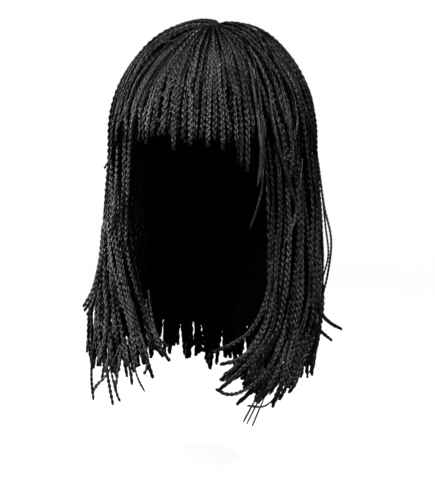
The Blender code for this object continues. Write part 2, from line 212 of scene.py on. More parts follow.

# Braids listed one by one: loose ones that leave the mass, and some that cross it or fill it.
# How thick they are next to the rest, and the points that they pass
Stray = namedtuple("Stray", "name size points")
STRAY_SIDES, STRAY_STEPS, STRAY_ROLL_WAVE = 4, 9, Wave(0.5, 0.12)
STRAYS = [
    Stray("side_loop", 0.7, [(0.092, 0.026, -0.083), (0.099, 0.023, -0.121), (0.106, 0.020, -0.163),
                             (0.113, 0.022, -0.197), (0.110, 0.021, -0.231), (0.105, 0.015, -0.255)]),
    Stray("side_loop_2", 0.6, [(0.097, 0.023, -0.111), (0.104, 0.019, -0.149), (0.108, 0.018, -0.182),
                               (0.111, 0.019, -0.211), (0.106, 0.015, -0.235)]),
    Stray("shoulder_end_1", 1.0, [(0.102, -0.002, -0.215), (0.106, -0.001, -0.242),
                                  (0.108, 0.005, -0.265), (0.114, 0.017, -0.277),
                                  (0.122, 0.033, -0.286)]),
    Stray("shoulder_end_2", 0.95, [(0.100, -0.018, -0.239), (0.104, -0.017, -0.263),
                                   (0.109, -0.005, -0.280), (0.117, 0.011, -0.293)]),
    Stray("flick_1", 0.95, [(0.077, -0.066, -0.204), (0.073, -0.073, -0.240), (0.062, -0.081, -0.266),
                            (0.047, -0.090, -0.279), (0.029, -0.096, -0.287)]),
    Stray("flick_2", 0.95, [(0.081, -0.065, -0.223), (0.075, -0.072, -0.257), (0.064, -0.081, -0.282),
                            (0.051, -0.089, -0.294), (0.035, -0.094, -0.299)]),
    Stray("flick_3", 0.8, [(0.091, -0.052, -0.243), (0.083, -0.059, -0.285), (0.071, -0.073, -0.311),
                           (0.054, -0.083, -0.325), (0.042, -0.092, -0.327), (0.031, -0.095, -0.322)]),
    Stray("inner_1", 0.95, [(0.073, -0.071, -0.258), (0.065, -0.079, -0.277), (0.052, -0.087, -0.297),
                            (0.035, -0.094, -0.314)]),
    Stray("inner_2", 1.0, [(0.075, -0.067, -0.270), (0.066, -0.077, -0.289), (0.050, -0.087, -0.308),
                           (0.034, -0.094, -0.323)]),
    Stray("short_end", 1.1, [(0.074, -0.070, -0.274), (0.067, -0.078, -0.291), (0.061, -0.081, -0.307),
                             (0.057, -0.083, -0.319)]),
    Stray("bottom_1", 1.0, [(0.097, -0.045, -0.277), (0.093, -0.057, -0.299), (0.087, -0.067, -0.321),
                            (0.079, -0.071, -0.342)]),
    Stray("bottom_2", 0.95, [(0.093, -0.051, -0.281), (0.090, -0.063, -0.303), (0.085, -0.069, -0.323),
                             (0.079, -0.073, -0.338)]),
    Stray("bottom_3", 1.0, [(0.090, -0.057, -0.280), (0.086, -0.067, -0.299), (0.079, -0.073, -0.317),
                            (0.072, -0.076, -0.331)]),
    Stray("bottom_4", 0.95, [(0.099, -0.039, -0.283), (0.097, -0.047, -0.303), (0.091, -0.057, -0.320),
                             (0.083, -0.061, -0.337)]),
    Stray("bottom_5", 1.0, [(0.084, -0.064, -0.277), (0.079, -0.071, -0.297), (0.072, -0.076, -0.313),
                            (0.068, -0.077, -0.323)]),
    Stray("bottom_6", 0.9, [(0.101, -0.028, -0.290), (0.099, -0.034, -0.308), (0.094, -0.041, -0.324),
                            (0.088, -0.044, -0.334)]),
    Stray("left_end", 0.8, [(-0.077, -0.064, -0.079), (-0.078, -0.064, -0.103),
                            (-0.080, -0.065, -0.115), (-0.087, -0.061, -0.125)]),
    Stray("cluster_1", 1.0, [(-0.101, -0.029, -0.184), (-0.104, -0.030, -0.220),
                             (-0.110, -0.032, -0.246), (-0.121, -0.030, -0.265)]),
    Stray("cluster_2", 1.0, [(-0.097, -0.038, -0.189), (-0.101, -0.039, -0.224),
                             (-0.107, -0.041, -0.250), (-0.116, -0.041, -0.267)]),
    Stray("cluster_3", 0.9, [(-0.093, -0.047, -0.195), (-0.097, -0.048, -0.229),
                             (-0.103, -0.050, -0.253), (-0.110, -0.050, -0.269)]),
    Stray("low_1", 0.8, [(-0.095, -0.058, -0.269), (-0.097, -0.069, -0.293), (-0.099, -0.070, -0.323),
                         (-0.099, -0.065, -0.348)]),
    Stray("low_2", 0.9, [(-0.077, -0.074, -0.286), (-0.078, -0.085, -0.308), (-0.076, -0.084, -0.329),
                         (-0.073, -0.083, -0.347)]),
    Stray("low_3", 0.8, [(-0.079, -0.080, -0.290), (-0.074, -0.084, -0.315), (-0.069, -0.084, -0.335),
                         (-0.066, -0.083, -0.343)]),
    Stray("low_4", 1.0, [(-0.065, -0.081, -0.289), (-0.066, -0.086, -0.307), (-0.068, -0.087, -0.322),
                         (-0.069, -0.088, -0.332)]),
    Stray("low_5", 0.95, [(-0.061, -0.080, -0.289), (-0.057, -0.084, -0.304), (-0.055, -0.083, -0.316),
                          (-0.054, -0.083, -0.326)]),
    Stray("low_6", 0.8, [(-0.069, -0.072, -0.291), (-0.077, -0.074, -0.311), (-0.084, -0.076, -0.323),
                         (-0.090, -0.078, -0.329), (-0.097, -0.075, -0.339)]),
    Stray("low_7", 1.1, [(-0.048, -0.076, -0.279), (-0.041, -0.079, -0.295), (-0.040, -0.079, -0.308),
                         (-0.043, -0.080, -0.316)]),
    Stray("curl_1", 0.9, [(-0.042, -0.069, -0.237), (-0.036, -0.073, -0.267), (-0.028, -0.076, -0.289),
                          (-0.019, -0.076, -0.303)]),
    Stray("curl_2", 0.8, [(-0.044, -0.070, -0.247), (-0.037, -0.073, -0.273), (-0.028, -0.076, -0.284),
                          (-0.019, -0.076, -0.289)]),
    Stray("curl_3", 0.6, [(-0.056, -0.089, -0.280), (-0.050, -0.092, -0.300), (-0.044, -0.096, -0.316),
                          (-0.038, -0.094, -0.329)]),
    Stray("temple_1", 0.62, [(0.033, -0.034, -0.001), (0.051, -0.056, -0.022), (0.063, -0.075, -0.057),
                             (0.069, -0.080, -0.092), (0.069, -0.080, -0.115), (0.067, -0.081, -0.135)]),
    Stray("temple_2", 0.62, [(0.038, -0.027, -0.001), (0.057, -0.054, -0.026), (0.067, -0.072, -0.061),
                             (0.071, -0.077, -0.101), (0.070, -0.077, -0.131)]),
    Stray("cheek_1", 0.4, [(0.061, -0.072, -0.070), (0.068, -0.075, -0.102), (0.071, -0.079, -0.129),
                           (0.068, -0.084, -0.151), (0.061, -0.086, -0.173)]),
    Stray("cross_1", 0.6, [(0.030, 0.002, 0.002), (0.046, -0.008, 0.001), (0.060, -0.027, -0.015),
                           (0.078, -0.051, -0.054), (0.085, -0.052, -0.074), (0.091, -0.044, -0.093),
                           (0.092, -0.034, -0.111)]),
    Stray("cross_2", 0.6, [(0.036, 0.012, 0.001), (0.050, -0.002, -0.001), (0.068, -0.023, -0.022),
                           (0.085, -0.028, -0.050), (0.092, -0.034, -0.076), (0.091, -0.042, -0.095),
                           (0.086, -0.049, -0.115)]),
    Stray("cross_3", 0.7, [(0.069, -0.050, -0.044), (0.075, -0.063, -0.066), (0.080, -0.065, -0.088),
                           (0.084, -0.058, -0.112), (0.091, -0.042, -0.147), (0.093, -0.037, -0.164),
                           (0.088, -0.044, -0.184)]),
    Stray("cross_4", 0.7, [(0.079, 0.001, -0.036), (0.089, -0.012, -0.053), (0.096, -0.011, -0.072),
                           (0.100, 0.003, -0.096), (0.097, 0.026, -0.121)]),
    Stray("cross_5", 0.9, [(0.074, -0.032, -0.037), (0.082, -0.045, -0.058), (0.088, -0.048, -0.081),
                           (0.090, -0.045, -0.109), (0.088, -0.045, -0.134)]),
    Stray("cross_6", 0.6, [(0.095, -0.024, -0.114), (0.095, -0.032, -0.133), (0.093, -0.037, -0.156),
                           (0.090, -0.046, -0.177), (0.084, -0.054, -0.193)]),
    Stray("parting_1", 1.2, [(0.006, -0.032, -0.004), (0.006, -0.022, 0.003), (0.006, 0.000, 0.006),
                             (0.006, 0.025, 0.005), (0.006, 0.047, -0.002), (0.006, 0.058, -0.010)]),
    Stray("parting_2", 1.1, [(0.011, -0.030, -0.004), (0.011, -0.020, 0.003), (0.011, 0.002, 0.006),
                             (0.011, 0.027, 0.004), (0.011, 0.047, -0.003), (0.011, 0.058, -0.011)]),
    Stray("parting_3", 1.2, [(0.001, -0.034, 0.000), (0.001, -0.022, 0.005), (0.001, 0.000, 0.008),
                             (0.001, 0.025, 0.006), (0.001, 0.045, 0.000), (0.001, 0.056, -0.008)]),
    Stray("crown_1", 1.5, [(-0.026, 0.052, -0.010), (-0.008, 0.053, -0.005), (0.008, 0.053, -0.003),
                           (0.024, 0.052, -0.007), (0.040, 0.050, -0.016)]),
    Stray("crown_2", 1.4, [(-0.022, 0.042, -0.005), (-0.006, 0.043, 0.000), (0.008, 0.043, 0.001),
                           (0.022, 0.042, -0.002), (0.036, 0.040, -0.009)]),
    Stray("edge_1", 1.0, [(-0.073, -0.061, -0.061), (-0.071, -0.066, -0.088), (-0.072, -0.068, -0.121),
                          (-0.074, -0.069, -0.154), (-0.078, -0.067, -0.187)]),
    Stray("edge_2", 1.05, [(-0.067, -0.063, -0.065), (-0.065, -0.067, -0.093), (-0.065, -0.068, -0.125),
                           (-0.067, -0.069, -0.158), (-0.071, -0.067, -0.196)]),
    Stray("edge_3", 0.95, [(-0.063, -0.063, -0.071), (-0.060, -0.067, -0.097), (-0.061, -0.069, -0.130),
                           (-0.062, -0.070, -0.162), (-0.064, -0.069, -0.200)]),
    Stray("hair_line", 0.25, [(0.103, -0.020, -0.218), (0.103, -0.031, -0.247),
                              (0.097, -0.043, -0.274), (0.086, -0.056, -0.298),
                              (0.068, -0.072, -0.318)]),
    Stray("wisp_1", 0.38, [(0.077, -0.072, -0.304), (0.070, -0.074, -0.323), (0.061, -0.076, -0.340),
                           (0.053, -0.078, -0.356)]),
    Stray("wisp_2", 0.38, [(0.079, -0.071, -0.304), (0.073, -0.073, -0.323), (0.064, -0.075, -0.341),
                           (0.056, -0.077, -0.358)]),
    Stray("wisp_3", 0.38, [(0.082, -0.070, -0.306), (0.075, -0.072, -0.325), (0.068, -0.074, -0.342),
                           (0.061, -0.076, -0.360)]),
    Stray("wisp_arc", 0.5, [(0.089, -0.068, -0.321), (0.082, -0.072, -0.332), (0.072, -0.077, -0.340),
                            (0.058, -0.082, -0.339)]),
]

# What chance starts from: the wig's own seed, and the first seed of each group of braids
SEED = 815
FRINGE_SEEDS, RIGHT_SEEDS, LEFT_SEEDS, STRAY_SEED, HAND_SEEDS = 0, 10, 16, 50, 60

# The tone of a strand's corner: of the dullest braid, the painted shade where the strand passes under
# the others, and how fast the painted shade darkens the corners away from the strand's crest
DULLEST, UNDER_SHADE, CREST_SHADE_POWER = 0.45, 0.25, 1.3

# The hair's colour and gloss at the least and the full tone, where the tone also carries the painted
# shade, its fibres, and the length of braid that one repeat of the fibres covers
DARK_HAIR, PALE_HAIR = (0.002, 0.002, 0.0024, 1), (0.010, 0.0098, 0.0106, 1)
DULL_HAIR, GLOSSY_HAIR = 0.02, 1.0
FIBRE_SCALE, FIBRE_DETAIL = (22.0, 1.4, 1.0), 2.0
HAIR_ROUGHNESS = (0.14, 0.4)
UV_LENGTH = 0.01

# The cap's colours, gloss and holes, and how strong and deep both materials' bumps are
CAP_DARK, CAP_PALE = (0.004, 0.004, 0.004, 1), (0.022, 0.021, 0.022, 1)
CAP_ROUGHNESS, CAP_HOLES_SCALE = 0.85, 700.0
Bump = namedtuple("Bump", "strength distance")
HAIR_BUMP, CAP_BUMP = Bump(0.35, 0.0004), Bump(0.6, 0.0003)


def smooth(share):
    """0 up to 0, 1 from 1 on, and a smooth rise between."""
    share = np.clip(share, 0.0, 1.0)
    return share * share * (3 - 2 * share)


def unit(vectors):
    """Each vector with its length made 1."""
    return vectors / np.linalg.norm(vectors, axis=-1, keepdims=True)


def hermite(start, end, leaving, arriving, share):
    """The points at a share of a cubic curve with the given ends and tangents."""
    square, cube = share**2, share**3
    return (
        start * (2 * cube - 3 * square + 1)
        + leaving * (cube - 2 * square + share)
        + end * (3 * square - 2 * cube)
        + arriving * (cube - square)
    )


def row_values(rows, angle):
    """The values of a table's row at each angle, on a smooth curve through its rows."""
    table = np.array(rows, float)
    last = len(table) - 1
    low = np.clip(np.searchsorted(table[:, 0], angle, side="right") - 1, 0, last - 1)
    before, start, end, after = (table[np.clip(low + step, 0, last)] for step in (-1, 0, 1, 2))
    span = end[..., :1] - start[..., :1]
    share = (np.asarray(angle)[..., None] - start[..., :1]) / span
    leaving = (end - before) * span / (end[..., :1] - before[..., :1])
    arriving = (after - start) * span / (after[..., :1] - start[..., :1])
    return hermite(start, end, leaving, arriving, share)


def past_the_back(rows):
    """A table from the front to the back, with its last row but one mirrored behind it."""
    beyond = {name: getattr(rows[-2], name) for name in rows[0]._fields}
    beyond["angle"] = 360 - rows[-2].angle
    for name in beyond:
        if name.endswith("_x"):
            beyond[name] = -beyond[name]
    return [*rows, type(rows[0])(**beyond)]


def parting_points(angle):
    """Where the braids at these angles leave the parting, seen from above."""
    share = np.clip((np.abs(angle) - FRONT_FAN) / (BACK_FAN - FRONT_FAN), 0, 1)
    y = PARTING_FRONT_Y + share * (PARTING_BACK_Y - PARTING_FRONT_Y)
    return np.stack([np.full_like(y, PARTING_X), y], -1)


def rim_points(shell, angle):
    """Points of the shell's widest section, seen from above."""
    turn = np.radians(angle)
    x = shell.half_width * np.sin(turn)
    return np.stack([x, shell.centre_y - shell.half_length * np.cos(turn)], -1)


def dome_points(shell, angle, reach):
    """Points of the shell above its widest level. Reach runs from 0 at the parting to 1."""
    reach = np.asarray(reach)[..., None]
    plan = parting_points(angle) * (1 - reach) + rim_points(shell, angle) * reach
    away = (plan[..., 0] / shell.half_width) ** 2
    away = away + ((plan[..., 1] - shell.centre_y) / shell.half_length) ** 2
    z = WIDEST_Z + shell.height * np.sqrt(np.maximum(0, 1 - away))
    return np.concatenate([plan, z[..., None]], -1)


def dome_hair(angle, reach, depth):
    """Points in the hair on the cap. Depth runs from 0 at the cap to 1 at the outer face."""
    rise = ROOT_THICKNESS_SHARE
    rise = rise + (1 - rise) * smooth(reach / FULL_THICKNESS_REACH)
    share = (depth * rise)[..., None]
    inner, outer = dome_points(HAIR_INNER, angle, reach), dome_points(HAIR_OUTER, angle, reach)
    return inner * (1 - share) + outer * share


def root_reach(angle):
    """Where the braids start: beyond the parting, tucked under those of the other side."""
    way = rim_points(HAIR_INNER, angle) - parting_points(angle)
    return -ROOT_CROSSING / np.linalg.norm(way, axis=-1)


def fall_middles(angle, side):
    """The middle of the hair at the levels of the jaw, the shoulder and the tip."""
    falls = past_the_back(FALLS_LEFT if side > 0 else FALLS_RIGHT)
    row = row_values(falls, np.abs(angle))
    level = [np.full_like(row[..., 0], z) for z in LEVELS_Z]
    return (
        np.stack([row[..., 1], row[..., 2], level[0]], -1),
        np.stack([row[..., 3], row[..., 4], level[1]], -1),
        row[..., 5:8],
    )


def fall_hair(angle, drop, depth, side):
    """Points in the hanging hair. Drop runs from 0 at the widest level to 1 at the tip."""
    points = [dome_hair(angle, np.ones_like(angle), depth)]
    places = zip(*(fall_middles(angle + turn, side) for turn in (-1, 0, 1)), LEVEL_THICKNESSES)
    for before, middle, after, thickness in places:
        along = unit(after - before)
        outward = np.stack([along[..., 1], -along[..., 0], np.zeros_like(angle)], -1)
        points.append(middle + unit(outward) * thickness * (depth[..., None] - 0.5))
    down = points[1] - points[0]
    down[..., :2] = 0
    tangents = [down, (points[2] - points[0]) / 2, (points[3] - points[1]) / 2]
    tangents.append(points[3] - points[2])
    points, tangents = np.array(points), np.array(tangents)
    stretch = np.clip((drop * 3).astype(int), 0, 2)
    each = np.arange(len(angle))
    share = (drop * 3 - stretch)[..., None]
    ends = points[stretch, each], points[stretch + 1, each]
    return hermite(*ends, tangents[stretch, each], tangents[stretch + 1, each], share)


def side_path(angle, station, depth, side):
    """Points in the side and back hair. The station is 0 at the parting, 1 at the head's
    widest level and 2 at the tip. Below the temple the braids turn back from the face."""
    turn = smooth((station - TURN_START) / TURN_STATIONS)
    turn = turn * (180 - np.abs(angle)) / (180 - SIDE_START_ANGLE)
    angle = angle + side * FACE_EDGE_TURNS[side] * turn
    root = root_reach(angle)
    reach = root + (1 - root) * np.sin(np.clip(station, 0, 1) * math.pi / 2)
    dome = dome_hair(angle, reach, depth)
    fall = fall_hair(angle, np.clip(station - 1, 0, 1), depth, side)
    return np.where((station > 1)[..., None], fall, dome)


def beside_the_slits(angle, station):
    """The angles with those that fall in a slit moved to its edge."""
    for slit in SLITS:
        share = smooth((station - slit.start) / SLIT_EASE)
        share = share * smooth((slit.end - station) / SLIT_EASE)
        away = angle - slit.angle
        least = slit.half_width * share
        angle = slit.angle + np.where(away < 0, -1, 1) * np.maximum(np.abs(away), least)
    return angle


def fringe_path(angle, station, depth, _side):
    """Points in the fringe. The station is 0 at the parting and 1 at the fringe's end. The
    side changes nothing here: it is asked for as in side_path."""
    angle = beside_the_slits(angle, station)
    tip_z = row_values(FRINGE_ENDS, angle)[..., 1]
    turn = station * (math.pi / 2 + (WIDEST_Z - tip_z) / HAIR_OUTER.height)
    root = root_reach(angle)
    reach = root + (1 - root) * np.sin(np.minimum(turn, math.pi / 2))
    points = dome_hair(angle, reach, depth)
    points[..., 2] -= np.maximum(0, turn - math.pi / 2) * HAIR_OUTER.height
    return points


def resampled(points, step, length_change):
    """Evenly spaced points along a line, cut short or drawn out straight at its end."""
    if length_change > 0:
        onward = unit(points[-1] - points[-4]) * length_change
        points = np.concatenate([points, points[-1:] + onward])
    gone = np.concatenate([[0], np.cumsum(np.linalg.norm(np.diff(points, axis=0), axis=1))])
    total = gone[-1] + min(0.0, length_change)
    places = np.linspace(0, total, max(LEAST_STEPS, round(total / step) + 1))
    return np.stack([np.interp(places, gone, points[:, k]) for k in range(3)], -1), places


def wave(rng, places, length):
    """A slow, smooth wandering between about -1 and 1 along a line."""
    turns = places / length
    phases = rng.uniform(0, 2 * math.pi, len(WAVE_WEIGHTS))
    parts = enumerate(zip(WAVE_WEIGHTS, phases), 1)
    return sum(weight * np.sin(2 * math.pi * turns * k + phase) for k, (weight, phase) in parts)


def plait(points, outward, places, sides, phase, roll, size):
    """A plait's three strands along a line, thin at the root and sealed at the end: the rings
    of their corners, and the painted shade of each corner, darker off its crest and where it passes
    under its neighbours."""
    ahead = unit(np.gradient(points, axis=0))
    outward = unit(outward - ahead * np.sum(outward * ahead, -1, keepdims=True))
    across = np.cross(ahead, outward)
    turn = roll[:, None]
    outward, across = (
        outward * np.cos(turn) + across * np.sin(turn),
        across * np.cos(turn) - outward * np.sin(turn),
    )
    left = (places[-1] - places) / size
    open_share = smooth((left - SEALED_LENGTH) / NECK_LENGTH)
    root = ROOT_SHARE + (1 - ROOT_SHARE) * smooth(places / ROOT_LENGTH)
    fullness = size * root
    fullness[0] *= ROOT_POINT
    fullness[-1] *= END_POINT
    swing = fullness * (SEALED_SWING + (1 - SEALED_SWING) * open_share)
    corners = np.arange(sides) * 2 * math.pi / sides + math.pi / 2
    # Painted shade: a corner is darker and duller the further it turns from the strand's crest
    crest_shade = ((1 + np.sin(corners)) / 2) ** CREST_SHADE_POWER
    dulled = SEALED_TONE + (1 - SEALED_TONE) * open_share
    strands = []
    for strand in range(3):
        angle = 2 * math.pi * (places / (PITCH * size) + strand / 3) + phase
        sway = (np.sin(angle) * SWING_ACROSS * swing)[:, None]
        lift = (-np.sin(2 * angle) * SWING_THROUGH * swing)[:, None]
        line = points + across * sway + outward * lift
        ahead_here = unit(np.gradient(line, axis=0))
        side = unit(np.cross(ahead_here, outward))
        top = np.cross(side, ahead_here)
        width, height = (np.cos(corners) * STRAND_WIDTH / 2, np.sin(corners) * STRAND_HEIGHT / 2)
        ring = side[:, None] * width[None, :, None] + top[:, None] * height[None, :, None]
        # Painted shade: the strand is darker where it passes under the other two, and lightest where it
        # lies on top
        under_shade = UNDER_SHADE + (1 - UNDER_SHADE) * (1 - np.sin(2 * angle)) / 2
        # The sealed end's own dullness times the painted shade of the crest and of passing under
        shade = (under_shade * dulled)[:, None] * crest_shade
        strands.append((line[:, None] + ring * fullness[:, None, None], shade))
    return strands


def linked(name, data):
    """A new object with this data, in the scene."""
    made = bpy.data.objects.new(name, data)
    bpy.context.scene.collection.objects.link(made)
    return made


class Strands:
    """Closed strands gathered for one mesh, with each corner's tone: how glossy and pale its braid is,
    times the painted shade there.
    """

    def __init__(self):
        self.points, self.faces, self.coords, self.tones_with_painted_shade = [], [], [], []
        self.count = 0

    def add(self, rings, places, tones_with_painted_shade):
        """One strand, from its rings of corners and the tone of each, painted shade included."""
        rows, sides = rings.shape[:2]
        index = self.count + np.arange(rows * sides).reshape(rows, sides)
        after = np.roll(index, -1, axis=1)
        walls = np.stack([index[:-1], index[1:], after[1:], after[:-1]], -1).reshape(-1, 4)
        around, along = np.meshgrid(np.arange(sides) / sides, places / UV_LENGTH)
        near = np.stack([around, along], -1)
        far = near + np.array([1 / sides, 0])
        coords = np.stack([near[:-1], near[1:], far[1:], far[:-1]], 2).reshape(-1, 2)
        ends = [index[0], index[-1, ::-1]]
        self.faces += [*walls.tolist(), *(end.tolist() for end in ends)]
        self.coords += [coords, np.full((sides, 2), near[0, 0]), np.full((sides, 2), near[-1, 0])]
        self.points.append(rings.reshape(-1, 3))
        self.tones_with_painted_shade.append(tones_with_painted_shade.ravel())
        self.count += rows * sides

    def made(self, name, material):
        """The mesh object of all the strands."""
        mesh = bpy.data.meshes.new(name)
        mesh.from_pydata(np.concatenate(self.points), [], self.faces)
        coords = np.concatenate(self.coords).astype(np.float32)
        mesh.uv_layers.new(name="UVMap").data.foreach_set("uv", coords.ravel())
        # The tone attribute: each braid's own tone times the painted shade of its corners
        tones_with_painted_shade = mesh.attributes.new("tone", "FLOAT", "POINT")
        tones_with_painted_shade.data.foreach_set("value", np.concatenate(self.tones_with_painted_shade).astype(np.float32))
        mesh.shade_smooth()
        mesh.materials.append(material)
        return linked(name, mesh)


def spacing_at(path, angle, step, station, side):
    """How far apart two neighbouring braids of a layer lie at a station."""
    angles = np.array([angle - step / 2, angle + step / 2])
    stations, depths = np.full(2, station), np.full(2, SPACING_DEPTH)
    ends = path(angles, stations, depths, side)
    return np.linalg.norm(ends[1] - ends[0])


def start_station(path, angle, step, number, side):
    """Where a braid starts: the first station at which the braids of its rank have room."""
    rank = next((k for k in range(RANKS) if number % 2 ** (k + 1)), RANKS)
    for station in np.linspace(0.0, LATEST_START, START_TRIALS):
        if spacing_at(path, angle, step, station, side) * 2**rank >= SPACING_NEEDED:
            return station
    return LATEST_START


def spread_over(rows, count):
    """The rows drawn out to a count, evenly."""
    share, source = np.linspace(0, 1, count), np.linspace(0, 1, len(rows))
    return np.stack([np.interp(share, source, rows[:, k]) for k in range(3)], -1)


def curled(rng, line, places, outward, across, sweep):
    """The line with its end curled by chance and swept along."""
    share = np.clip((places - places[-1] + CURL_LENGTH) / CURL_LENGTH, 0, 1)[:, None] ** 2
    chance = across * rng.normal(0, CURL_ACROSS) + outward * rng.normal(0, CURL_OUT)
    return line + share * (chance + sweep)


def finish_braid(strands, rng, line, places, outward, sides, size):
    """The braid's own small waves, then its three strands."""
    outward = unit(outward)
    across = unit(np.cross(outward, UP))
    loose = smooth((places - TIGHT_LENGTH) / LOOSENING_LENGTH)
    loose = TIGHT_SHARE + (1 - TIGHT_SHARE) * loose
    for way, (wave_size, length) in ((across, ACROSS_WAVE), (outward, OUTWARD_WAVE)):
        line = line + way * (wave_size * loose * wave(rng, places, length))[:, None]
    roll = ROLL_WAVE.size * wave(rng, places, ROLL_WAVE.length) + rng.normal(0, ROLL_CHANCE)
    phase = rng.uniform(0, 2 * math.pi)
    tone = DULLEST + (1 - DULLEST) * rng.uniform(0, 1) ** 2
    # Each corner gets the braid's own tone times its painted shade
    for rings, shade in plait(line, outward, places, sides, phase, roll, size):
        strands.add(rings, places, tone * shade)


def fringe_braid(strands, rng, braid):
    """One of the braids listed for the fringe."""
    stations = np.linspace(HAND_START, 1, PATH_POINTS)
    turn = smooth(stations)
    angles = braid.start_angle + (braid.angle - braid.start_angle) * turn
    depths = HAND_DEPTH + HAND_DEPTH_SPREAD * wave(rng, stations, DEPTH_LENGTH)
    points = fringe_path(angles, stations, depths, 1)
    outward = fringe_path(angles, stations, depths + OUTWARD_STEP, 1) - points
    size = rng.uniform(*BRAID_SIZES)
    line, places = resampled(points, PITCH * size / HAND_STEPS, braid.longer)
    finish_braid(strands, rng, line, places, spread_over(outward, len(line)), HAND_SIDES, size)


def add_braid(strands, rng, path, side, angle, layer, start):
    """One braid from its start station to its end, with its own small wanderings."""
    stations = np.linspace(start, layer.end, PATH_POINTS)
    along = (stations - start) / (layer.end - start)
    hanging = smooth((stations - WANDER_START) / WANDER_STATIONS)
    hanging = WANDER_SHARE + (1 - WANDER_SHARE) * hanging
    angles = angle + layer.wander * hanging * wave(rng, along, WANDER_LENGTH)
    if layer.end > 1:
        low, high = sorted((side * SIDE_START_ANGLE, side * 180))
        angles = np.clip(angles, low - EDGE_MARGIN, high)
    chance = wave(rng, along, DEPTH_LENGTH) + DEPTH_CHANCE * rng.uniform(-1, 1)
    depths = layer.depth + layer.depth_spread * chance
    depths = depths * (ROOT_DEPTH + (1 - ROOT_DEPTH) * smooth((stations - start) / RISING_STATIONS))
    points = path(angles, stations, depths, side)
    outward = path(angles, stations, depths + OUTWARD_STEP, side) - points
    shorter = layer.trim * (1 - rng.uniform(0, 1) ** 3)
    size = layer.size * rng.uniform(*BRAID_SIZES)
    line, places = resampled(points, PITCH * size / layer.steps, -shorter)
    outward = spread_over(outward, len(line))
    if layer.end > 1:
        first, last = SWEEP_ANGLES
        share = rng.uniform(0, 1) * smooth((last - abs(angle)) / (last - first))
        across = unit(np.cross(outward, UP))
        line = curled(rng, line, places, unit(outward), across, np.array(SWEEPS[side]) * share)
    finish_braid(strands, rng, line, places, outward, layer.sides, size)


def sector_braids(path, layers, start, width, first, side, seed):
    """All the braids of one sector of the wig, layer by layer."""
    strands = Strands()
    rng = np.random.default_rng((SEED, seed))
    for layer in layers:
        step = width / layer.braids
        for number in range(layer.braids):
            angle = start + step * (number + 0.5 + ANGLE_CHANCE * layer.wander * rng.uniform(-1, 1))
            station = layer.start
            if not layer.start:
                station = start_station(path, angle, step, first * layer.braids + number, side)
                station += START_CHANCE * rng.uniform(0, 1)
            add_braid(strands, rng, path, side, angle, layer, station)
    return strands


def curve_through(points, count=12):
    """A smooth line through given points."""
    points = np.array(points)
    padded = np.concatenate([2 * points[:1] - points[1:2], points, 2 * points[-1:] - points[-2:-1]])
    share = np.linspace(0, 1, count, endpoint=False)[:, None]
    runs = []
    for before, start, end, after in zip(padded, padded[1:], padded[2:], padded[3:]):
        runs.append(hermite(start, end, (end - before) / 2, (after - start) / 2, share))
    return np.concatenate([*runs, points[-1:]])


def loose_braids():
    """The listed braids beside the fringe's."""
    strands = Strands()
    rng = np.random.default_rng((SEED, STRAY_SEED))
    for stray in STRAYS:
        line, places = resampled(curve_through(stray.points), PITCH * stray.size / STRAY_STEPS, 0)
        outward = unit(line * np.array([1, 1, 0]))
        roll = STRAY_ROLL_WAVE.size * wave(rng, places, STRAY_ROLL_WAVE.length)
        phase = rng.uniform(0, 2 * math.pi)
        tone = rng.uniform(DULLEST, 1)
        # Each corner gets the braid's own tone times its painted shade
        for rings, shade in plait(line, outward, places, STRAY_SIDES, phase, roll, stray.size):
            strands.add(rings, places, tone * shade)
    return strands


# The cap's edge, by angle from the front
CapEdge = namedtuple("CapEdge", "angle z")
CAP_EDGE = [
    CapEdge(0, -0.060),
    CapEdge(40, -0.068),
    CapEdge(62, -0.090),
    CapEdge(78, -0.104),
    CapEdge(92, -0.088),
    CapEdge(112, -0.104),
    CapEdge(145, -0.140),
    CapEdge(180, -0.146),
]
CAP_COLUMNS, CAP_ROWS = 96, 30
NAPE_TUCK, NAPE_Z = 0.17, -0.146
HEM_ROWS, HEM_RISE, HEM_CREASE = 2, 0.0005, 40
WELD_DISTANCE = 1e-6


def cap_points(shell, angle, share):
    """Points of the cap. Share runs from 0 at the parting to 1 at the cap's edge."""
    edge = row_values(past_the_back(CAP_EDGE), np.abs(angle))[..., 1]
    dome_end = np.arccos((np.maximum(edge, WIDEST_Z) - WIDEST_Z) / shell.height)
    below = np.maximum(0, WIDEST_Z - edge) / shell.height
    turn = share * (dome_end + below)
    points = dome_points(shell, angle, np.sin(np.minimum(turn, math.pi / 2)))
    lowered = np.maximum(0, turn - math.pi / 2) * shell.height
    tuck = 1 - NAPE_TUCK * (lowered / (WIDEST_Z - NAPE_Z)) ** 2
    points[..., :2] *= tuck[..., None]
    points[..., 2] -= lowered
    return points


